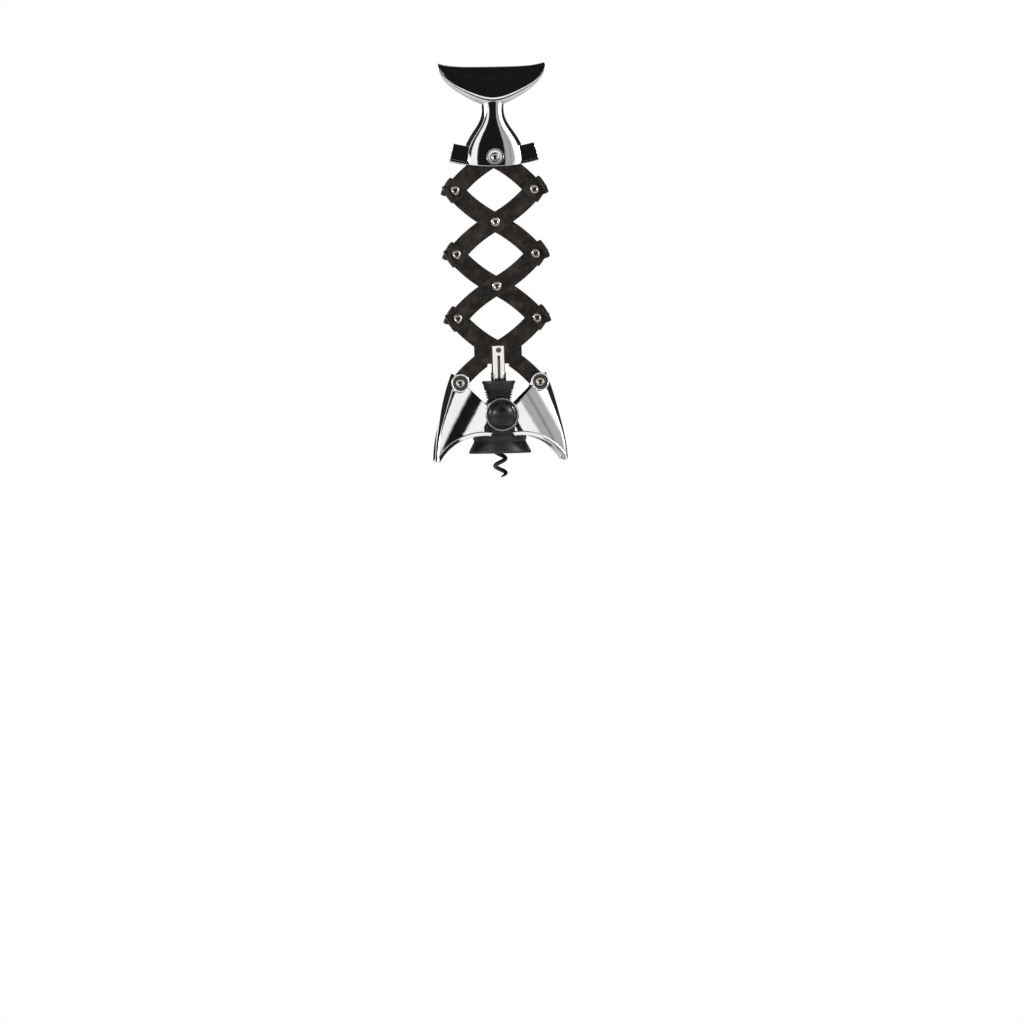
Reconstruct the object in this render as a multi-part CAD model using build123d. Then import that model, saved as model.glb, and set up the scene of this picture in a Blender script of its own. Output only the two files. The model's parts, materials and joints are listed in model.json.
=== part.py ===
from build123d import *
import math
import os

# Corkscrew with lazy tongs, shaped as a fish: a tail for a handle, crossed links, and two jaws for a head.
# X is to the right, Y away from the viewer and Z up the worm. What lies in front has Y below zero.
# Heights are measured from the bell's mouth. At the end the part is lowered so that its origin is on
# the worm's axis,
# at the seat in the bell that rests on the bottle's rim. All pieces are drawn with the tongs drawn out.
# The mechanism looks the same after half a turn about Z, so each right or rear piece is a turned left
# or front one.
# Lengths are in millimetres and angles in degrees.

# Tongs: distance from a crossing to a side pivot, and the links' slope when drawn out and when folded
half_link = 30.0
drawn_angle = 38.7
folded_angle = 11.7
hinge_height = 22.7

# Links: stamped strips in two layers, each half bowed, with a flange bent square at the outer ends
link_width = 10.8
jaw_link_width = 9.5
link_thickness = 2.0
link_bow = 1.5
layer_gap = 0.3
flange_reach = 5.6
flange_width = 11.2
flange_turn = 9.0
flange_depth = 7.5
flange_crown = 0.6
flange_corner = 2.2
jaw_end_radius = 4.2
web_half_width = 13.8
web_top = 3.0
web_bottom = 4.5
web_drop = 7.0
web_inner_half_width = 8.0
relief_half_width = 6.4
relief_height = 7.9

# Rivets of the links
rivet_radius = 1.6
rivet_head_radius = 2.7
rivet_head_height = 0.8
rivet_hole_radius = 1.15
rivet_hole_depth = 1.6
rivet_edge = 0.3

# Jaws: shells of the closed head, measured from the hinge with the two halves shut against each other
shut_angle = 28.5
jaw_top = 8.2
jaw_gill_drop = 2.3
jaw_gill_start = 34.5
jaw_tip_drop = 41.6
jaw_top_half_width = 36.1
jaw_tip_half_width = 20.7
jaw_side_bow = 2.3
jaw_half_depth = 17.6
jaw_front_radius = 55.0
jaw_front_half_width = 28.0
jaw_side_round = 2.0
jaw_wall = 1.5
jaw_parting = 0.2
cheek_parting = 6.0
jaw_station_shares = (-0.04, 0.32, 0.68, 1.04)
mouth_radius = 29.3
mouth_centre_side = 10.2
mouth_centre_drop = 41.7
lip_height = 2.2
lip_proud = 0.5
ring_radius = 9.5
tongue_reach = 18.0
jaw_boss_radius = 5.3
jaw_boss_half_depth = 11.5
jaw_boss_recess_radius = 4.4
jaw_boss_recess_depth = 2.2
jaw_rivet_head_radius = 3.0

# Jaw hinge: stub pins in the hub, under domed eyes
hinge_pin_radius = 3.5
hinge_pin_in_hub = 5.5
hinge_pin_in_eye = 3.0
eye_radius = 8.0
eye_height = 6.4
eye_collar_radius = 8.9
eye_collar_height = 1.0

# Hub column: ribbed crown, knuckle and foot, with a bore for the shaft
crown_top = 42.3
crown_neck = 30.5
crown_top_radius = 9.85
crown_neck_radius = 7.2
crown_rim_height = 1.6
crown_rim_step = 0.5
rib_count = 4
rib_depth = 0.7
rib_zone_share = 0.62
knuckle_radius = 9.3
foot_half_width = 9.0
foot_half_depth = 13.4
pad_half_width = 5.7
pad_half_depth = 13.8
pad_top = 14.3
spigot_radius = 7.0

# Bell that sits on the bottle
bell_height = 10.2
bell_mouth_radius = 18.1
bell_lip_height = 1.3
bell_waist_radius = 15.2
bell_waist_height = 6.9
bell_ring_radius = 15.6
bell_ring_height = 2.2
bell_bore_radius = 15.0
bell_bore_top_radius = 13.9
bell_bore_depth = 7.2

# Shaft and worm
shaft_radius = 4.45
shaft_above_pin = 2.9
shaft_below_pin = 24.0
shaft_slot_below_pin = 13.0
shaft_edge = 0.5
shaft_groove_width = 1.6
shaft_groove_depth = 0.8
shaft_groove_below_pin = 3.2
shaft_pin_radius = 1.5
worm_radius = 4.25
worm_wire = 2.5
worm_pitch = 8.7
worm_shank_offset = 1.6
worm_quarter_turns = 23
worm_socket_depth = 4.0
worm_tip_radius = 0.35

# Tail handle, measured from its pivot
stem_height = 33.0
stem_half_width = 18.4
stem_half_depth = 10.0
stem_height_shares = (-0.197, 0.11, 0.285, 0.458, 0.642, 0.885, 1.0)
stem_width_shares = (1.0, 0.96, 0.84, 0.65, 0.44, 0.345, 0.36)
stem_depth_shares = (1.15, 0.975, 0.875, 0.775, 0.67, 0.535, 0.47)
fluke_half_span = 31.7
fluke_top = 53.1
fluke_tip_rise = 2.4
fluke_rise_power = 4
fluke_height = 23.0
fluke_half_thickness = 4.8
fluke_span_shares = (0.0, 0.24, 0.52, 0.78, 0.93, 1.0)
fluke_chord_shares = (1.0, 0.93, 0.74, 0.52, 0.31, 0.035)
fluke_thick_shares = (1.0, 0.95, 0.78, 0.6, 0.42, 0.06)
fluke_outline_shares = ((0.36, 0.08), (0.54, 0.3), (0.79, 0.6), (1.0, 0.87), (0.66, 0.97))
skirt_half_width = 36.0
skirt_half_depth = 6.2
skirt_flare = 1.9
skirt_wall = 2.0
skirt_height = 10.8
skirt_radius = 103.0
skirt_drop = 5.3
skirt_half_angle = 14.8
bead_height = 1.5
bead_proud = 0.5
tail_slot_outer_rise = 3.8
tail_recess_radius = 4.8
tail_recess_floor = 8.4

# Clearances
running_clearance = 0.06
press_clearance = 0.02
face_clearance = 0.25
slot_clearance = 0.4
bore_clearance = 0.1
overrun = 10.0

# Whole turns and parts of one
half_turn = 180.0
quarter_turn = 90.0

# Places that follow from the sizes above
link_inner = layer_gap / 2
link_outer = link_inner + link_thickness
pitch = 2 * half_link * math.sin(math.radians(drawn_angle))
side_offset = half_link * math.cos(math.radians(drawn_angle))
folded_pitch = 2 * half_link * math.sin(math.radians(folded_angle))
lowest_crossing = hinge_height + pitch
middle_crossing = lowest_crossing + pitch
upper_crossing = middle_crossing + pitch
tail_pivot = upper_crossing + pitch
lap_outer = jaw_half_depth - jaw_wall
lap_inner = lap_outer - face_clearance - jaw_wall
knuckle_half_depth = lap_inner - face_clearance
eye_seat = jaw_half_depth + face_clearance
slot_half_width = link_outer + slot_clearance
bore_radius = shaft_radius + bore_clearance
shaft_top = lowest_crossing + shaft_above_pin
shaft_bottom = lowest_crossing - shaft_below_pin
turn_round = Rot(0, 0, half_turn)


def polar(radius, angle):
    """Point of the X and Z plane at a radius and an angle above +X."""
    return (radius * math.cos(math.radians(angle)), radius * math.sin(math.radians(angle)))


def prism(sketch, y_low, y_high):
    """Solid of a sketch drawn in X and Z, from y_low to y_high."""
    return extrude(Plane.XZ.offset(-y_high) * sketch, amount=y_high - y_low, dir=(0, -1, 0))


def disc(x, z, radius, y_low, y_high):
    """Cylinder along Y."""
    return prism(Pos(x, z) * Circle(radius), y_low, y_high)


def turned(points):
    """Solid turned about Z from points given as radius and height."""
    return revolve(Plane.XZ * make_face(Polyline(*points, close=True)), Axis.Z)


# Links

def half_band(width):
    """Bowed half of a link, from its crossing at the origin to its pivot on +X, bowed towards -Z."""
    arc_radius = (half_link ** 2 / 4 + link_bow ** 2) / (2 * link_bow)
    centre = Vector(half_link / 2, arc_radius - link_bow)
    start = (Vector(0, 0) - centre).normalized()
    middle = Vector(0, -arc_radius).normalized()
    end = (Vector(half_link, 0) - centre).normalized()
    far = arc_radius + width / 2
    near = arc_radius - width / 2
    outer = ThreePointArc(centre + start * far, centre + middle * far, centre + end * far)
    inner = ThreePointArc(centre + end * near, centre + middle * near, centre + start * near)
    return make_face([outer.edge(), Line(outer @ 1, inner @ 0).edge(), inner.edge(),
                      Line(inner @ 1, outer @ 0).edge()])


def link_plate(sketch):
    """Strip of the front layer."""
    return prism(sketch, -link_outer, -link_inner)


def flange():
    """Flange bent forward at the pivot on +X and turned a little round it, with its strip back to the
    pivot."""
    back = half_link + flange_reach - link_thickness
    half = flange_width / 2
    curve = ThreePointArc((back, -half), (back + flange_crown, 0), (back, half))
    far = Pos(link_thickness, 0) * curve
    plan = make_face([curve.edge(), Line(curve @ 1, far @ 1).edge(), far.edge(),
                      Line(far @ 0, curve @ 0).edge()])
    plate = prism(plan, -link_outer - flange_depth, -link_inner)
    front_edges = plate.edges().filter_by(Axis.X).group_by(Axis.Y)[0]
    plate = fillet(front_edges, flange_corner)
    bend = plate.edges().filter_by(GeomType.CIRCLE).group_by(Axis.Y)[-1].sort_by(Axis.X)[-1]
    plate = fillet(bend, link_thickness - layer_gap)
    strip = Pos(half_link + flange_reach / 2, 0) * Rectangle(flange_reach, link_width)
    end = plate + link_plate(strip)
    end = Pos(half_link, 0, 0) * Rot(0, flange_turn, 0) * Pos(-half_link, 0, 0) * end
    return end + link_plate(Pos(half_link, 0) * Circle(link_width / 2))


def pivot_hole(x, radius):
    """Hole through the front layer on the link's centre line."""
    return disc(x, 0, radius + running_clearance, -link_outer - overrun, overrun)


def full_link():
    """Front link: two bowed halves with a flange at each end."""
    band = half_band(link_width) + Rot(0, 0, half_turn) * half_band(link_width)
    half_flange = flange()
    link = link_plate(band) + half_flange + Rot(0, half_turn, 0) * half_flange
    for x in (-half_link, 0, half_link):
        link = link - pivot_hole(x, rivet_radius)
    return link


def top_link():
    """Front half link under the tail: pivot eye at the crossing, flange at the lower end."""
    band = Rot(0, 0, half_turn) * half_band(link_width) + Circle(link_width / 2)
    link = link_plate(band) + Rot(0, half_turn, 0) * flange()
    for x in (-half_link, 0):
        link = link - pivot_hole(x, rivet_radius)
    return link


def jaw_link():
    """Front link of the lowest pair: webbed at the crossing, relieved under it, round at the jaw's end."""
    web = Polygon((0, 0), (0, -web_drop), (web_inner_half_width, -web_drop),
                  (web_half_width, -web_bottom), (web_half_width, web_top), align=None)
    relief_centre = Pos(0, -relief_height - overrun / 2)
    relief = relief_centre * Rectangle(2 * relief_half_width, overrun)
    level = Rot(0, 0, -drawn_angle)
    band = half_band(link_width) + Rot(0, 0, half_turn) * half_band(jaw_link_width)
    band = band + Pos(-half_link, 0) * Circle(jaw_end_radius)
    link = link_plate(band + level * web - level * relief) + flange()
    for x in (-half_link, half_link):
        link = link - pivot_hole(x, rivet_radius)
    return link - pivot_hole(0, shaft_pin_radius)


def as_front(link, height):
    """Put a link in the front layer with its crossing at a height."""
    return Pos(0, 0, height) * Rot(0, -drawn_angle, 0) * link


# Rivets

def rivet(x, z, grip, head_radius):
    """Semi-tubular rivet along Y with round heads, holding pieces between -grip and grip."""
    crest = grip + rivet_head_height
    mouth = (rivet_hole_radius, crest - rivet_edge)
    rim = (head_radius, grip + rivet_edge)
    floor = crest - rivet_hole_depth
    hole = Polyline((0, 0), (0, floor), (rivet_hole_radius, floor), mouth)
    head = ThreePointArc(mouth, ((rivet_hole_radius + head_radius) / 2, crest), rim)
    shank = Polyline(rim, (head_radius, grip), (rivet_radius, grip), (rivet_radius, 0), (0, 0))
    half = revolve(make_face([*hole.edges(), head.edge(), *shank.edges()]), Axis.Y)
    return Pos(x, 0, z) * (half + mirror(half, Plane.XZ))


def link_rivet(x, z):
    """Rivet through both layers of links."""
    return rivet(x, z, link_outer + running_clearance, rivet_head_radius)


# Jaws, drawn shut and measured from the hinge, then opened to the drawn-out place

def head_half_width(share):
    """Half width of the closed head at a share of the way from its top edge to its tips."""
    straight = jaw_top_half_width + (jaw_tip_half_width - jaw_top_half_width) * share
    return straight + 4 * jaw_side_bow * share * (1 - share)


def head_section(half_width, inset):
    """Plan of the closed head: the same broad arc in front and behind at every height, and rounded
    sides."""
    front_half_width = min(jaw_front_half_width, half_width - jaw_side_round)
    lean = math.asin(front_half_width / jaw_front_radius)
    radius = jaw_front_radius - inset
    reach = radius * math.sin(lean)
    depth = jaw_half_depth - jaw_front_radius + radius * math.cos(lean)
    crest = jaw_half_depth - inset
    side = half_width - inset
    front = ThreePointArc((-reach, -depth), (0, -crest), (reach, -depth))
    rear = ThreePointArc((reach, depth), (0, crest), (-reach, depth))
    outwards = (math.cos(lean), math.sin(lean))
    inwards = (-outwards[0], outwards[1])
    right = Spline((reach, -depth), (side, 0), (reach, depth), tangents=(outwards, inwards))
    left = Rot(0, 0, half_turn) * right
    return make_face([front.edge(), right.edge(), rear.edge(), left.edge()])


def head_form(inset):
    """Solid of the closed head, with its wall moved inwards by inset."""
    sections = []
    for share in jaw_station_shares:
        height = jaw_top - (jaw_top + jaw_tip_drop) * share
        sections.append(Pos(0, 0, height) * head_section(head_half_width(share), inset))
    return loft(sections)


def left_outline(parting):
    """Side view of the left half of the head, without its mouth, from a distance beside the middle."""
    far = jaw_top_half_width + overrun
    gill_slope = (jaw_top + jaw_gill_drop) / jaw_gill_start
    return Polygon((-parting, parting * gill_slope - jaw_gill_drop), (-jaw_gill_start, jaw_top),
                   (-far, jaw_top), (-far, -jaw_tip_drop), (-parting, -jaw_tip_drop), align=None)


def left_jaw():
    """Left half of the head: shell, mouth lip, hinge ring in front, hinge tongue at the rear, and
    rivet bosses."""
    deep = jaw_half_depth + overrun
    mouth_place = Pos(mouth_centre_side, -mouth_centre_drop)
    mouth = mouth_place * Circle(mouth_radius)
    lip_zone = left_outline(jaw_parting) & mouth_place * Circle(mouth_radius + lip_height) - mouth
    outer = head_form(0)
    inner = head_form(jaw_wall)
    jaw = (outer - inner) & prism(left_outline(cheek_parting) - mouth, -deep, deep)
    jaw = jaw + ((head_form(-lip_proud) - inner) & prism(lip_zone, -deep, deep))

    tongue_zone = Pos(-tongue_reach / 2, -ring_radius / 2) * Rectangle(tongue_reach, ring_radius)
    tongue = Circle(ring_radius) + (tongue_zone & left_outline(jaw_parting) - mouth)
    jaw = jaw - disc(0, 0, ring_radius + face_clearance, -lap_outer, -knuckle_half_depth)
    jaw = jaw - disc(0, 0, ring_radius + face_clearance, lap_outer - face_clearance, deep)
    jaw = jaw + disc(0, 0, ring_radius, -jaw_half_depth, -lap_outer)
    jaw = jaw + (prism(tongue, lap_inner, lap_inner + jaw_wall) & outer)

    pivot_x, pivot_z = polar(half_link, half_turn - drawn_angle + shut_angle)
    floor = jaw_boss_half_depth - jaw_boss_recess_depth
    jaw = jaw - disc(pivot_x, pivot_z, jaw_link_width / 2 + face_clearance, -link_outer - face_clearance, 0)
    jaw = jaw + disc(pivot_x, pivot_z, jaw_boss_radius, -jaw_boss_half_depth, -link_outer - face_clearance)
    jaw = jaw + disc(pivot_x, pivot_z, jaw_boss_radius, 0, jaw_boss_half_depth)
    jaw = jaw - disc(pivot_x, pivot_z, jaw_boss_recess_radius, -deep, -floor)
    jaw = jaw - disc(pivot_x, pivot_z, jaw_boss_recess_radius, floor, deep)
    jaw = jaw - disc(pivot_x, pivot_z, rivet_radius + running_clearance, -deep, deep)
    jaw = jaw - disc(0, 0, hinge_pin_radius + running_clearance, -deep, deep)
    return Pos(0, 0, hinge_height) * Rot(0, shut_angle, 0) * jaw


def jaw_rivet(side):
    """Rivet that holds a jaw on its link."""
    grip = jaw_boss_half_depth - jaw_boss_recess_depth + running_clearance
    return rivet(side * side_offset, hinge_height + pitch / 2, grip, jaw_rivet_head_radius)


# Hub

def crown_points():
    """Outline of the ribbed crown above its neck, as radius and height."""
    height = crown_top - crown_rim_height - crown_neck
    flare = (crown_top_radius - crown_rim_step - crown_neck_radius) / height
    step = height * rib_zone_share / rib_count
    points = []
    for rib in range(rib_count):
        low = rib * step
        groove = low + step / 2
        points.append((crown_neck_radius + flare * low, crown_neck + low))
        points.append((crown_neck_radius + flare * groove, crown_neck + groove))
        points.append((crown_neck_radius + flare * groove - rib_depth, crown_neck + groove))
        points.append((crown_neck_radius + flare * (low + step) - rib_depth, crown_neck + low + step))
    points.append((crown_neck_radius + flare * rib_count * step, crown_neck + rib_count * step))
    points.append((crown_top_radius - crown_rim_step, crown_top - crown_rim_height))
    points.append((crown_top_radius, crown_top - crown_rim_height))
    points.append((crown_top_radius, crown_top))
    return points


def hub_column():
    """Crown, knuckle and foot in one moulding, slotted for the links and bored for the shaft."""
    neck = [(0, crown_top), (0, hinge_height), (crown_neck_radius, hinge_height)]
    column = turned(neck + crown_points())
    column = column + disc(0, hinge_height, knuckle_radius, -knuckle_half_depth, knuckle_half_depth)
    foot = extrude(Pos(0, 0, bell_height) * Ellipse(foot_half_width, foot_half_depth),
                   amount=hinge_height - bell_height)
    spigot_length = bell_height - bell_bore_depth
    spigot = Pos(0, 0, bell_bore_depth + spigot_length / 2) * Cylinder(spigot_radius, spigot_length)
    pad_height = pad_top - bell_height
    pad = Pos(0, 0, bell_height + pad_height / 2) * Box(2 * pad_half_width, 2 * pad_half_depth, pad_height)
    column = column + foot + pad + spigot

    web_reach = math.hypot(web_half_width, web_bottom)
    slot_floor = hinge_height + folded_pitch - web_reach - slot_clearance
    slot_top = crown_top + overrun
    slot = Box(2 * (crown_top_radius + overrun), 2 * slot_half_width, slot_top - slot_floor)
    column = column - Pos(0, 0, (slot_top + slot_floor) / 2) * slot
    column = column - Cylinder(bore_radius, 2 * (crown_top + overrun))
    hole = hinge_pin_radius + press_clearance
    hole_end = knuckle_half_depth - hinge_pin_in_hub - press_clearance
    column = column - disc(0, hinge_height, hole, hole_end, knuckle_half_depth + overrun)
    return column - disc(0, hinge_height, hole, -knuckle_half_depth - overrun, -hole_end)


def bell_collar():
    """Flared bell with a hollow for the bottle's lip and a hole for the column's spigot."""
    hole = spigot_radius + press_clearance
    return turned([(bell_bore_radius, 0), (bell_mouth_radius, 0), (bell_mouth_radius, bell_lip_height),
                   (bell_waist_radius, bell_waist_height), (bell_waist_radius, bell_height - bell_ring_height),
                   (bell_ring_radius, bell_height - bell_ring_height), (bell_ring_radius, bell_height),
                   (hole, bell_height), (hole, bell_bore_depth), (bell_bore_top_radius, bell_bore_depth)])


def front_hinge_pin():
    """Stub that the jaws turn on, from the hub column into the eye."""
    return disc(0, hinge_height, hinge_pin_radius, -eye_seat - hinge_pin_in_eye,
                -knuckle_half_depth + hinge_pin_in_hub)


def front_eye():
    """Ball on a collar over the hinge, with a blind hole for the pin."""
    dome_radius = (eye_radius ** 2 + eye_height ** 2) / (2 * eye_height)
    reach = math.degrees(math.asin(eye_radius / dome_radius))
    middle = polar(dome_radius, quarter_turn - reach / 2)
    collar = eye_seat + eye_collar_height
    crest = collar + eye_height
    curve = ThreePointArc((eye_radius, -collar), (middle[0], -crest + dome_radius - middle[1]), (0, -crest))
    base = Polyline((0, -crest), (0, -eye_seat), (eye_collar_radius, -eye_seat), (eye_collar_radius, -collar),
                    (eye_radius, -collar))
    outline = make_face([curve.edge(), *base.edges()])
    eye = Pos(0, 0, hinge_height) * revolve(outline, Axis.Y)
    hole_end = eye_seat + hinge_pin_in_eye + press_clearance
    return eye - disc(0, hinge_height, hinge_pin_radius + press_clearance, -hole_end, 0)


# Shaft and worm

def clevis_shaft():
    """Round bar with side grooves, a slot for the links at its top and a socket for the worm at its
    bottom."""
    length = shaft_top - shaft_bottom
    bar = Cylinder(shaft_radius, length)
    bar = chamfer(bar.edges().filter_by(GeomType.CIRCLE), shaft_edge)
    bar = Pos(0, 0, (shaft_top + shaft_bottom) / 2) * bar
    slot_depth = shaft_above_pin + shaft_slot_below_pin
    slot = Box(2 * (shaft_radius + overrun), 2 * (link_outer + face_clearance), slot_depth + overrun)
    bar = bar - Pos(0, 0, shaft_top - slot_depth + (slot_depth + overrun) / 2) * slot
    groove_top = lowest_crossing - shaft_groove_below_pin
    groove_length = groove_top - shaft_bottom
    groove = Box(shaft_groove_width, 2 * shaft_groove_depth, 2 * groove_length)
    for y in (-shaft_radius, shaft_radius):
        bar = bar - Pos(0, y, shaft_bottom) * groove
    socket = Cylinder(worm_wire / 2 + press_clearance, 2 * worm_socket_depth)
    bar = bar - Pos(-worm_shank_offset, 0, shaft_bottom) * socket
    return bar - disc(0, lowest_crossing, shaft_pin_radius + running_clearance, -overrun, overrun)


def worm_point(turns):
    """Point of the worm's centre line after a number of turns down from the shaft."""
    angle = half_turn - 2 * half_turn * turns
    x, y = polar(worm_radius - worm_wire / 2, angle)
    return Vector(x, y, shaft_bottom - worm_pitch * turns)


def worm_direction(turns):
    """Direction of the worm's centre line, downwards."""
    angle = half_turn - 2 * half_turn * turns
    x, y = polar(2 * math.pi * (worm_radius - worm_wire / 2), angle)
    return Vector(y, -x, -worm_pitch).normalized()


def biarc(start, start_direction, end, end_direction):
    """Two arcs, tangent to each other and to the given directions."""
    chord = end - start
    both = start_direction + end_direction
    spread = 2 * (1 - start_direction.dot(end_direction))
    along = chord.dot(both)
    reach = (math.sqrt(along ** 2 + spread * chord.dot(chord)) - along) / spread
    first = start + start_direction * reach
    second = end - end_direction * reach
    joint = (first + second) / 2
    return [Edge.make_tangent_arc(start, start_direction, joint),
            Edge.make_tangent_arc(joint, second - first, end)]


def worm():
    """Right-handed wire worm: straight end in the shaft, even turns, and a last quarter turn drawn to
    a point."""
    shank_top = Vector(-worm_shank_offset, 0, shaft_bottom + worm_socket_depth - press_clearance)
    shank_end = Vector(-worm_shank_offset, 0, shaft_bottom)
    down = Vector(0, 0, -1)
    edges = [Edge.make_line(shank_top, shank_end)]
    place, direction = shank_end, down
    quarters = [quarter / 4 for quarter in range(1, worm_quarter_turns)]
    for turns in quarters:
        edges += biarc(place, direction, worm_point(turns), worm_direction(turns))
        place, direction = worm_point(turns), worm_direction(turns)
    turns = worm_quarter_turns / 4
    last = biarc(place, direction, worm_point(turns), worm_direction(turns))
    wire = sweep(Plane(shank_top, z_dir=down) * Circle(worm_wire / 2), path=Wire(edges))
    thick = Plane(place, z_dir=direction) * Circle(worm_wire / 2)
    thin = Plane(worm_point(turns), z_dir=worm_direction(turns)) * Circle(worm_tip_radius)
    tip = sweep([thick, thin], path=Wire(last), multisection=True)
    return wire + tip


def worm_gap():
    """Least clear distance between turns of the worm, measured on points an eighth of a turn apart."""
    points = [worm_point(eighth / 8) for eighth in range(2 * worm_quarter_turns)]
    gaps = []
    for first in range(len(points)):
        for second in range(first + 4, len(points)):
            gaps.append((points[second] - points[first]).length - worm_wire)
    return min(gaps)


# Tail

def stem():
    """Flared stem of the tail, oval in plan."""
    sections = []
    for height, width, depth in zip(stem_height_shares, stem_width_shares, stem_depth_shares):
        oval = Ellipse(stem_half_width * width, stem_half_depth * depth)
        sections.append(Pos(0, 0, stem_height * height) * oval)
    return loft(sections)


def fluke_section(side, span, chord, thick):
    """Section across a fluke at a share of its span: a drop, thin at the top edge and round below."""
    top = fluke_top + fluke_tip_rise * span ** fluke_rise_power
    height = fluke_height * chord
    half = [(fluke_half_thickness * thick * width, -height * drop) for width, drop in fluke_outline_shares]
    other = [(-width, drop) for width, drop in reversed(half)]
    outline = Spline((0, 0), *half, (0, -height), *other, periodic=True)
    edge = (side * fluke_half_span * span, 0, top)
    return Plane(edge, x_dir=(0, 1, 0), z_dir=(1, 0, 0)) * make_face(outline)


def flukes():
    """Both flukes in one smooth form from tip to tip."""
    stations = list(zip(fluke_span_shares, fluke_chord_shares, fluke_thick_shares))
    left = [fluke_section(-1, *station) for station in reversed(stations[1:])]
    right = [fluke_section(1, *station) for station in stations]
    return loft(left + right)


def skirt_zone(low, high):
    """Side view of a band of the skirt, between two distances from its lower edge."""
    edge = Circle(skirt_radius - low) - Circle(skirt_radius - high)
    reach = skirt_radius + overrun
    side = reach * math.tan(math.radians(skirt_half_angle))
    fan = Polygon((0, 0), (-side, -reach), (side, -reach), align=None)
    return Pos(0, skirt_radius - skirt_drop) * (edge & fan)


def skirt_form(proud):
    """Oval form that flares downwards, with its wall moved outwards."""
    low = Pos(0, 0, -skirt_height) * Ellipse(skirt_half_width + skirt_flare + proud,
                                             skirt_half_depth + skirt_flare + proud)
    high = Pos(0, 0, skirt_height) * Ellipse(skirt_half_width - skirt_flare + proud,
                                             skirt_half_depth - skirt_flare + proud)
    return loft([low, high])


def skirt_tube(proud):
    """Oval tube that the skirt is cut from."""
    return skirt_form(proud) - skirt_form(-skirt_wall)


def tail_handle():
    """Flukes, stem and skirt in one casting, slotted for the two top links."""
    deep = stem_half_depth + overrun
    bottom = Pos(0, skirt_radius - skirt_drop) * Circle(skirt_radius)
    tail = (stem() & prism(bottom, -deep, deep)) + flukes()
    tail = tail + (skirt_tube(0) & prism(skirt_zone(0, skirt_height), -deep, deep))
    tail = tail + (skirt_tube(bead_proud) & prism(skirt_zone(0, bead_height), -deep, deep))

    slot_rise = link_width / 2 + link_bow + slot_clearance
    depth = 2 * slot_half_width
    inner_slot = Box(2 * stem_half_width, depth, slot_rise + overrun)
    outer_slot = Box(2 * (skirt_half_width + overrun), depth, tail_slot_outer_rise + overrun)
    tail = tail - Pos(0, 0, (slot_rise - overrun) / 2) * inner_slot
    tail = tail - Pos(0, 0, (tail_slot_outer_rise - overrun) / 2) * outer_slot
    tail = tail - disc(0, 0, tail_recess_radius, -deep, -tail_recess_floor)
    tail = tail - disc(0, 0, tail_recess_radius, tail_recess_floor, deep)
    tail = tail - disc(0, 0, rivet_radius + running_clearance, -deep, deep)
    return Pos(0, 0, tail_pivot) * tail


# Assembly

def pair(front_name, rear_name, front):
    """A front or left piece and the same piece turned round."""
    return {front_name: front, rear_name: turn_round * front}


def build_nodes():
    """All pieces by name."""
    nodes = {"hub_column": hub_column(), "bell_collar": bell_collar()}
    nodes.update(pair("front_hinge_pin", "rear_hinge_pin", front_hinge_pin()))
    nodes.update(pair("front_eye", "rear_eye", front_eye()))
    nodes.update(pair("left_jaw", "right_jaw", left_jaw()))
    nodes.update(pair("left_jaw_rivet", "right_jaw_rivet", jaw_rivet(-1)))

    link = full_link()
    nodes.update(pair("lower_link_front", "lower_link_rear", as_front(jaw_link(), lowest_crossing)))
    nodes.update(pair("middle_link_front", "middle_link_rear", as_front(link, middle_crossing)))
    nodes.update(pair("upper_link_front", "upper_link_rear", as_front(link, upper_crossing)))
    nodes.update(pair("top_link_front", "top_link_rear", as_front(top_link(), tail_pivot)))

    for name, crossing in (("lower", lowest_crossing), ("middle", middle_crossing), ("upper", upper_crossing)):
        side_rivet = link_rivet(-side_offset, crossing + pitch / 2)
        nodes.update(pair(f"{name}_rivet_left", f"{name}_rivet_right", side_rivet))
    nodes["crossing_rivet_middle"] = link_rivet(0, middle_crossing)
    nodes["crossing_rivet_upper"] = link_rivet(0, upper_crossing)

    nodes["clevis_shaft"] = clevis_shaft()
    half_pin = math.sqrt(shaft_radius ** 2 - shaft_pin_radius ** 2)
    nodes["shaft_pin"] = disc(0, lowest_crossing, shaft_pin_radius, -half_pin, half_pin)
    nodes["worm"] = worm()
    nodes["tail_handle"] = tail_handle()
    tail_grip = tail_recess_floor + running_clearance
    nodes["tail_rivet"] = rivet(0, tail_pivot, tail_grip, rivet_head_radius)
    return nodes


os.makedirs("parts", exist_ok=True)
to_seat = Pos(0, 0, -bell_bore_depth)
for name, shape in build_nodes().items():
    export_step(to_seat * shape, f"parts/{name}.step")
print(f"least gap between turns of the worm: {worm_gap():.2f} mm")
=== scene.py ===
import json
import math
from collections import namedtuple

import bpy
from mathutils import Matrix, Vector

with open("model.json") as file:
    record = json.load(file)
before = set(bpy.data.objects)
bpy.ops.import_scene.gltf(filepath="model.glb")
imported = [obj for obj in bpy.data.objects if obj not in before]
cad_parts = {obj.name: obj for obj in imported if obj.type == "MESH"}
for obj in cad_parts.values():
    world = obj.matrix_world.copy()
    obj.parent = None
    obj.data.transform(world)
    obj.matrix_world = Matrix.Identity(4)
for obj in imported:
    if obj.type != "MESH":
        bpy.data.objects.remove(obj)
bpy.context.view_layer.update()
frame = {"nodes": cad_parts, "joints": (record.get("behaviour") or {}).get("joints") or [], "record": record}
nodes = frame["nodes"]
record = frame["record"]

# Camera: the photograph's width and the jaw hinge's place in it are in pixels, the sensor in millimetres
image_width = 1024
hinge_pixel = (499.3, 414.3)
metres_per_pixel = 0.000585
camera_distance = 4.0
sensor_width = 36.0
lean = math.radians(1.25)
turn_left = math.radians(5.5)
look_down = math.radians(1.4)

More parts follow.
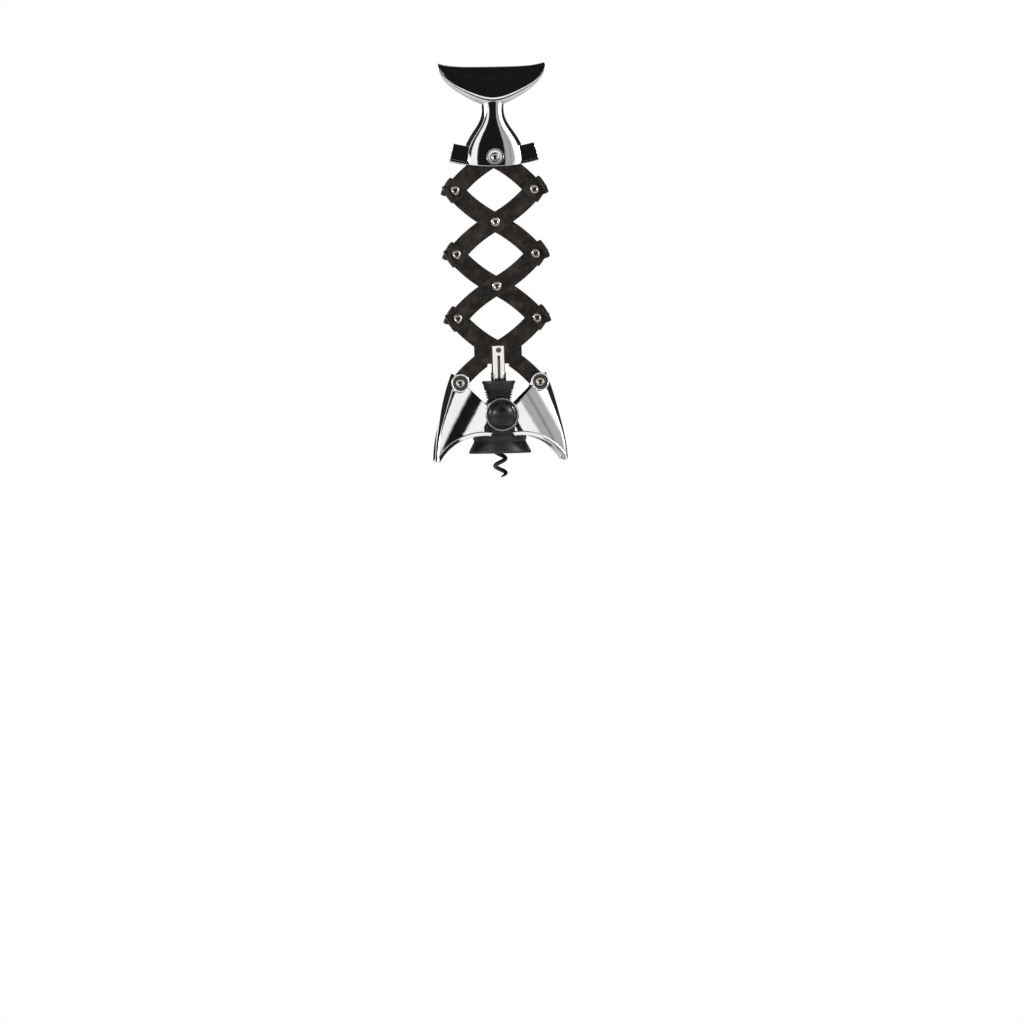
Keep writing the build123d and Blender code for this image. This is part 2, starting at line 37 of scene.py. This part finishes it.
# Floor, in metres: a white round table on a dark floor, as the metal shows it
floor_height = -0.33
floor_half_width = 4.0
floor_roughness = 0.9
floor_dark = (0.02, 0.02, 0.02)
table_centre = (0, 1.2)
table_radius = 1.98
table_edge = 0.08
table_white = (0.85, 0.85, 0.85)

# Soft boxes: bearing to the right of the front and elevation in degrees, width and height in metres, power in
# watts. Shiny surfaces show those that are mirrored.
SoftBox = namedtuple("SoftBox", "name bearing elevation width height power mirrored")
soft_boxes = (
    SoftBox("left_box", bearing=-83, elevation=21, width=0.22, height=0.7, power=5.0, mirrored=False),
    SoftBox("right_box", bearing=70, elevation=29, width=0.45, height=0.7, power=4.0, mirrored=True),
    SoftBox("left_eye_light", bearing=-71, elevation=14, width=0.16, height=0.2, power=4.0, mirrored=True),
    SoftBox("right_eye_light", bearing=76, elevation=25, width=0.16, height=0.2, power=4.0, mirrored=True),
)
lamp_target = Vector((0, 0, 0.08))
lamp_distance = 1.3

# The room that the metal shows: brightness by bearing to the right of the front, in degrees
room_bands = (
    # White behind the part, and a dark left wall with a narrow white window
    (-173, 1.0), (-167, 0.02), (-88, 0.02), (-86, 1.0), (-82, 1.0), (-80, 0.02), (-64, 0.02),
    # White panel left of the camera, and the dark about the camera
    (-60, 1.0), (-40, 1.0), (-37, 0.01), (27, 0.01),
    # Grey panel with a darker seam, and a white panel at the right
    (30, 0.42), (41, 0.44), (43, 0.2), (46, 0.44), (55, 0.46), (58, 1.0), (88, 1.0),
    # Dark right wall, up to the white behind the part
    (93, 0.02), (167, 0.02), (173, 1.0),
)
# Elevation of the walls' foot by bearing, both in degrees: the room is white below it
wall_foot = (
    (-110, -20), (-95, 19), (-75, 19), (-42, 13), (-12, 13), (-4, 9), (14, 9), (24, 12), (42, 12), (75, 19),
    (95, 19), (110, -20),
)
# Extra light of the window: its share by bearing and by elevation, in degrees, and its strength
window_bearings = ((-90, 0.0), (-87, 1.0), (-79, 1.0), (-76, 0.0))
window_elevations = ((6, 0.0), (9, 1.0), (22, 1.0), (25, 0.0))
window_gain = 3.0

# Shading: rays for each effect, the range that most of a noise lies in, and colours used more than once
rounding_samples = 8
edge_wear_and_highlight_samples = 6
hollow_samples = 24
noise_range = (0.3, 0.7)
white = (1.0, 1.0, 1.0)
# Dark colour of the painted shade in the hollows of nickel parts
painted_shade_dark = (0.012, 0.01, 0.009)

# Numbers of the sockets in a Mix node for colours, and in a Mix Shader node
mix_share, mix_first, mix_second, mix_result = 0, 6, 7, 2
shader_first, shader_second = 1, 2

# Degrees of bearing in a turn, and of elevation from straight down to straight up
whole_turn = 360
half_turn = 180


# Camera

def add_camera():
    """Camera a little left of the front and above it, rolled so that the part leans as in the photograph."""
    hinge = next(joint for joint in frame["joints"] if joint["name"] == "right_jaw_swing")["pos_m"]
    level = Vector((math.cos(turn_left), -math.sin(turn_left), 0))
    ahead = Vector((math.sin(turn_left), math.cos(turn_left), 0))
    upright = Vector((0, 0, 1)) * math.cos(look_down) + ahead * math.sin(look_down)
    right = level * math.cos(lean) - upright * math.sin(lean)
    up = level * math.sin(lean) + upright * math.cos(lean)
    back = right.cross(up)
    across = (hinge_pixel[0] - image_width / 2) * metres_per_pixel
    above = (image_width / 2 - hinge_pixel[1]) * metres_per_pixel
    middle = Vector(hinge) - right * across - up * above
    data = bpy.data.cameras.new("camera")
    data.sensor_width = sensor_width
    data.lens = sensor_width * camera_distance / (image_width * metres_per_pixel)
    camera = bpy.data.objects.new("camera", data)
    camera.matrix_world = Matrix((right, up, back)).transposed().to_4x4()
    camera.location = middle + back * camera_distance
    bpy.context.scene.collection.objects.link(camera)
    bpy.context.scene.camera = camera


# Node helpers

class NodeTree:
    """A node tree, with short calls for the nodes that the world and the materials share."""

    def __init__(self, tree):
        self.tree = tree

    def add(self, kind, **settings):
        """A new node, with its settings."""
        node = self.tree.nodes.new(kind)
        for key, value in settings.items():
            setattr(node, key, value)
        return node

    def link(self, source, target):
        """Join an output to an input."""
        self.tree.links.new(source, target)

    def calculate(self, operation, *values):
        """Result of one operation; each value is an output or a number."""
        node = self.add("ShaderNodeMath", operation=operation)
        for socket, value in zip(node.inputs, values):
            if isinstance(value, (int, float)):
                socket.default_value = value
            else:
                self.link(value, socket)
        return node.outputs["Value"]

    def ramp(self, source, stops):
        """Colour by the source's value, blended between stops of a value and a colour."""
        node = self.add("ShaderNodeValToRGB")
        elements = node.color_ramp.elements
        # A new stop's place doesn't matter here, since all places are set below
        while len(elements) < len(stops):
            elements.new(0.5)
        for element, (position, colour) in zip(elements, stops):
            element.position = position
            element.color = (*colour, 1.0)
        self.link(source, node.inputs["Fac"])
        return node.outputs["Color"]

    def mix(self, share, first, second):
        """Colour between two; each is an output or a colour."""
        node = self.add("ShaderNodeMix", data_type="RGBA")
        self.link(share, node.inputs[mix_share])
        for index, value in ((mix_first, first), (mix_second, second)):
            if isinstance(value, tuple):
                node.inputs[index].default_value = (*value, 1.0)
            else:
                self.link(value, node.inputs[index])
        return node.outputs[mix_result]

    def split_camera(self, others, camera, output):
        """Show one surface to the camera and another one to all other rays."""
        path = self.add("ShaderNodeLightPath")
        chosen = self.add("ShaderNodeMixShader")
        self.link(path.outputs["Is Camera Ray"], chosen.inputs["Fac"])
        self.link(others, chosen.inputs[shader_first])
        self.link(camera, chosen.inputs[shader_second])
        self.link(chosen.outputs["Shader"], output.inputs["Surface"])


class Shader(NodeTree):
    """A material's node tree. Textures follow the object's own coordinates, in metres."""

    def __init__(self, name):
        self.material = bpy.data.materials.new(name)
        self.material.use_nodes = True
        super().__init__(self.material.node_tree)
        self.main = self.tree.nodes["Principled BSDF"]
        self.place = self.add("ShaderNodeTexCoord").outputs["Object"]

    def stretched(self, scale):
        """Object coordinates times a scale along each axis."""
        mapping = self.add("ShaderNodeMapping")
        mapping.inputs["Scale"].default_value = scale
        self.link(self.place, mapping.inputs["Vector"])
        return mapping.outputs["Vector"]

    def noise(self, scale, detail, roughness=0.55, place=None):
        """Cloudy noise, at the object's coordinates or at others."""
        node = self.add("ShaderNodeTexNoise")
        node.inputs["Scale"].default_value = scale
        node.inputs["Detail"].default_value = detail
        node.inputs["Roughness"].default_value = roughness
        self.link(place or self.place, node.inputs["Vector"])
        return node.outputs["Fac"]

    def spread(self, source, start, end, low=0.0, high=1.0):
        """A value that goes from low to high as the source goes from start to end."""
        node = self.add("ShaderNodeMapRange")
        node.inputs["From Min"].default_value = start
        node.inputs["From Max"].default_value = end
        node.inputs["To Min"].default_value = low
        node.inputs["To Max"].default_value = high
        self.link(source, node.inputs["Value"])
        return node.outputs["Result"]

    def between(self, noise, low, high):
        """A value from low to high that follows a noise."""
        return self.spread(noise, *noise_range, low, high)

    def blend(self, noise, first, second):
        """A colour from first to second that follows a noise."""
        start, end = noise_range
        return self.ramp(noise, ((start, first), (end, second)))

    def rounded(self, radius, samples):
        """The surface's normal, as if its edges were rounded to a radius."""
        node = self.add("ShaderNodeBevel", samples=samples)
        node.inputs["Radius"].default_value = radius
        return node.outputs["Normal"]

    def edge_wear_and_highlight(self, radius, full=0.8, none=0.99):
        """Share of pale edge, partly wear and partly painted highlight, by how far rounding turns the normal;
        the limits are cosines of that turn.
        """
        geometry = self.add("ShaderNodeNewGeometry")
        dot = self.add("ShaderNodeVectorMath", operation="DOT_PRODUCT")
        self.link(self.rounded(radius, edge_wear_and_highlight_samples), dot.inputs[0])
        self.link(geometry.outputs["Normal"], dot.inputs[1])
        return self.spread(dot.outputs["Value"], none, full)

    def hollow(self, distance, full, none):
        """Share of painted shade in hollows; the limits are shares of the view that is open within a
        distance.
        """
        occlusion = self.add("ShaderNodeAmbientOcclusion", samples=hollow_samples)
        occlusion.inputs["Distance"].default_value = distance
        return self.spread(occlusion.outputs["AO"], none, full)

    def paint(self, colour, roughness, metallic=0.0):
        """Give the surface its colour and roughness."""
        self.link(colour, self.main.inputs["Base Color"])
        self.link(roughness, self.main.inputs["Roughness"])
        self.main.inputs["Metallic"].default_value = metallic

    def bump(self, height, strength, distance, rounding=None):
        """Fine relief, on edges that catch the light as if they were rounded where a rounding is given."""
        node = self.add("ShaderNodeBump")
        node.inputs["Strength"].default_value = strength
        node.inputs["Distance"].default_value = distance
        self.link(height, node.inputs["Height"])
        if rounding:
            self.link(self.rounded(rounding, rounding_samples), node.inputs["Normal"])
        self.link(node.outputs["Normal"], self.main.inputs["Normal"])


# Materials, one for each slot of the record

def chrome():
    """Polished chrome plate with faint smears and polishing marks, and painted shade in its hollows."""
    shader = Shader("chrome")
    smear = shader.noise(scale=90.0, detail=5.0)
    polish = shader.noise(scale=1400.0, detail=3.0)
    colour = shader.ramp(smear, ((0.25, (0.82, 0.82, 0.83)), (0.75, (0.90, 0.90, 0.90))))
    # Painted shade: hollows darkened to near black by how little of the view is open
    shade = shader.hollow(distance=0.004, full=0.5, none=0.8)
    colour = shader.mix(shade, colour, (0.012, 0.011, 0.01))
    shader.paint(colour, shader.between(smear, low=0.02, high=0.06), metallic=1.0)
    shader.bump(polish, strength=0.03, distance=0.00004, rounding=0.0005)
    return shader.material


def link_steel():
    """Black oxide on stamped steel: brown-black, mottled, with thin bright edges that are partly wear and
    partly painted highlight.
    """
    shader = Shader("link_steel")
    cloud = shader.noise(scale=160.0, detail=8.0, roughness=0.65)
    speck = shader.noise(scale=900.0, detail=5.0, roughness=0.7)
    black = (0.005, 0.005, 0.005)
    dark_brown = (0.020, 0.016, 0.014)
    brown = (0.062, 0.046, 0.035)
    colour = shader.ramp(cloud, ((0.36, black), (0.5, dark_brown), (0.64, brown)))
    pale = shader.ramp(speck, ((0.54, (0.0, 0.0, 0.0)), (0.72, (0.55, 0.55, 0.55))))
    colour = shader.mix(pale, colour, (0.19, 0.16, 0.14))
    # Pale edges: partly wear, partly painted highlight
    colour = shader.mix(shader.edge_wear_and_highlight(radius=0.00035), colour, (0.20, 0.18, 0.16))
    shader.paint(colour, shader.between(speck, low=0.30, high=0.52), metallic=0.55)
    shader.bump(speck, strength=0.25, distance=0.00006)
    return shader.material


def rivet_nickel():
    """Nickel plate, bright on the heads, with painted shade in the dimples."""
    shader = Shader("rivet_nickel")
    turned = shader.noise(scale=900.0, detail=3.0)
    colour = shader.blend(turned, (0.62, 0.59, 0.53), (0.74, 0.71, 0.64))
    # Painted shade: dimples and recesses darkened by how little of the view is open
    shade = shader.hollow(distance=0.004, full=0.45, none=0.7)
    colour = shader.mix(shade, colour, painted_shade_dark)
    shader.paint(colour, shader.between(turned, low=0.1, high=0.15), metallic=1.0)
    shader.bump(turned, strength=0.01, distance=0.00002)
    return shader.material


def shaft_nickel():
    """Drawn bar under nickel plate: fine lines along its length, and painted shade in its groove."""
    shader = Shader("shaft_nickel")
    along = shader.stretched((2600.0, 2600.0, 60.0))
    lines = shader.noise(scale=1.0, detail=3.0, roughness=0.6, place=along)
    colour = shader.blend(lines, (0.80, 0.77, 0.72), (0.92, 0.90, 0.86))
    # Painted shade: the groove darkened by how little of the view is open
    shade = shader.hollow(distance=0.003, full=0.72, none=0.93)
    colour = shader.mix(shade, colour, painted_shade_dark)
    shader.paint(colour, shader.between(lines, low=0.07, high=0.16), metallic=1.0)
    shader.bump(lines, strength=0.05, distance=0.00003)
    return shader.material


def pin_steel():
    """Plain turned steel, darkened."""
    shader = Shader("pin_steel")
    turned = shader.noise(scale=800.0, detail=4.0)
    colour = shader.blend(turned, (0.07, 0.062, 0.055), (0.20, 0.18, 0.16))
    shader.paint(colour, shader.between(turned, low=0.22, high=0.38), metallic=1.0)
    shader.bump(turned, strength=0.1, distance=0.00004)
    return shader.material


def worm_coating():
    """Black non-stick coating, slightly pebbled."""
    shader = Shader("worm_coating")
    pebble = shader.noise(scale=1600.0, detail=3.0)
    colour = shader.blend(pebble, (0.008, 0.008, 0.008), (0.022, 0.021, 0.020))
    shader.paint(colour, shader.between(pebble, low=0.26, high=0.42))
    shader.bump(pebble, strength=0.2, distance=0.00005)
    return shader.material


def hub_plastic():
    """Black moulded plastic with a fine satin grain, painted shade in its grooves and a painted highlight
    along its edges.
    """
    shader = Shader("hub_plastic")
    grain = shader.noise(scale=3200.0, detail=2.0)
    cloud = shader.noise(scale=140.0, detail=5.0)
    colour = shader.blend(cloud, (0.022, 0.022, 0.023), (0.038, 0.038, 0.040))
    # Painted shade: grooves darkened by how little of the view is open
    shade = shader.hollow(distance=0.002, full=0.5, none=0.85)
    colour = shader.mix(shade, colour, (0.003, 0.003, 0.003))
    # Painted highlight: paler along the edges, by how far rounding turns the normal
    colour = shader.mix(shader.edge_wear_and_highlight(radius=0.0003), colour, (0.07, 0.07, 0.07))
    shader.paint(colour, shader.between(grain, low=0.34, high=0.48))
    shader.bump(grain, strength=0.2, distance=0.00005)
    return shader.material


def eye_plastic():
    """Black plastic with a soft shine and faint handling marks."""
    shader = Shader("eye_plastic")
    mark = shader.noise(scale=220.0, detail=6.0)
    fine = shader.noise(scale=1200.0, detail=2.0)
    colour = shader.blend(mark, (0.005, 0.005, 0.006), (0.011, 0.011, 0.012))
    shader.paint(colour, shader.between(mark, low=0.32, high=0.36))
    shader.bump(fine, strength=0.02, distance=0.00004)
    return shader.material


def dress_nodes():
    """Give each CAD node the material of its slot."""
    makers = (
        chrome, link_steel, rivet_nickel, shaft_nickel,
        pin_steel, worm_coating, hub_plastic, eye_plastic,
    )
    materials = {maker.__name__: maker() for maker in makers}
    for part in record["subparts"]:
        mesh = nodes[part["node"]].data
        mesh.materials.clear()
        mesh.materials.append(materials[part["material_slot"]])


# Light and stage

def turn_share(degrees):
    """A bearing as a share of the whole turn, from -180 degrees."""
    return degrees / whole_turn + 0.5


def rise_share(degrees):
    """An elevation as a share of the way from straight down to straight up."""
    return degrees / half_turn + 0.5


def grey(level):
    """A grey colour of one brightness."""
    return (level, level, level)


def add_world():
    """The camera sees white all round. The metal shows a room of bands, with a window, on a white ground."""
    world = bpy.data.worlds.new("studio")
    bpy.context.scene.world = world
    world.use_nodes = True
    net = NodeTree(world.node_tree)
    background = net.tree.nodes["Background"]

    # Bearing and elevation of each ray, as shares from 0 to 1
    split = net.add("ShaderNodeSeparateXYZ")
    net.link(net.add("ShaderNodeTexCoord").outputs["Generated"], split.inputs["Vector"])
    forward = net.calculate("MULTIPLY", split.outputs["Y"], -1.0)
    bearing = net.calculate("ARCTAN2", split.outputs["X"], forward)
    bearing = net.calculate("ADD", net.calculate("DIVIDE", bearing, 2 * math.pi), 0.5)
    elevation = net.calculate("ARCSINE", split.outputs["Z"])
    elevation = net.calculate("ADD", net.calculate("DIVIDE", elevation, math.pi), 0.5)

    # The bands, and white below the walls' foot, blended over one degree
    room = net.ramp(bearing, [(turn_share(at), grey(level)) for at, level in room_bands])
    foot = net.ramp(bearing, [(turn_share(at), grey(rise_share(height))) for at, height in wall_foot])
    degrees_above = net.calculate("MULTIPLY", net.calculate("SUBTRACT", elevation, foot), half_turn)
    above_foot = net.ramp(degrees_above, ((0.0, grey(0.0)), (1.0, grey(1.0))))
    net.link(net.mix(above_foot, white, room), background.inputs["Color"])

    # The window's extra light
    window = net.ramp(bearing, [(turn_share(at), grey(share)) for at, share in window_bearings])
    pane = net.ramp(elevation, [(rise_share(at), grey(share)) for at, share in window_elevations])
    glare = net.calculate("MULTIPLY", net.calculate("MULTIPLY", window, pane), window_gain)
    net.link(net.calculate("ADD", glare, 1.0), background.inputs["Strength"])

    plain = net.add("ShaderNodeBackground")
    plain.inputs["Color"].default_value = (*white, 1.0)
    output = net.tree.nodes["World Output"]
    net.split_camera(background.outputs["Background"], plain.outputs["Background"], output)


def add_soft_boxes():
    """Area lamps at both sides, turned to the part."""
    for box in soft_boxes:
        light = bpy.data.lights.new(box.name, "AREA")
        light.shape = "RECTANGLE"
        light.size = box.width
        light.size_y = box.height
        light.energy = box.power
        lamp = bpy.data.objects.new(box.name, light)
        lamp.visible_glossy = box.mirrored
        turn = math.radians(box.bearing)
        rise = math.radians(box.elevation)
        level = math.cos(rise)
        towards = Vector((math.sin(turn) * level, -math.cos(turn) * level, math.sin(rise)))
        lamp.location = lamp_target + towards * lamp_distance
        lamp.rotation_euler = towards.to_track_quat("Z", "Y").to_euler()
        bpy.context.scene.collection.objects.link(lamp)


def add_floor():
    """Plain floor, white to the camera. The metal shows a white table with a dark floor round it."""
    mesh = bpy.data.meshes.new("floor")
    reach = floor_half_width
    corners = [(-reach, -reach, 0), (reach, -reach, 0), (reach, reach, 0), (-reach, reach, 0)]
    mesh.from_pydata(corners, [], [(0, 1, 2, 3)])
    floor = bpy.data.objects.new("floor", mesh)
    floor.location = (*table_centre, floor_height)
    bpy.context.scene.collection.objects.link(floor)

    shader = Shader("floor")
    away = shader.add("ShaderNodeVectorMath", operation="LENGTH")
    shader.link(shader.stretched((1 / reach, 1 / reach, 1 / reach)), away.inputs[0])
    table_end = table_radius + table_edge
    stops = ((table_radius / reach, table_white), (table_end / reach, floor_dark))
    shader.link(shader.ramp(away.outputs["Value"], stops), shader.main.inputs["Base Color"])
    shader.main.inputs["Roughness"].default_value = floor_roughness
    glow = shader.add("ShaderNodeEmission")
    output = shader.tree.nodes["Material Output"]
    shader.split_camera(shader.main.outputs["BSDF"], glow.outputs["Emission"], output)
    mesh.materials.append(shader.material)


add_camera()
add_world()
add_soft_boxes()
add_floor()
dress_nodes()
bpy.context.scene.view_settings.view_transform = "Standard"
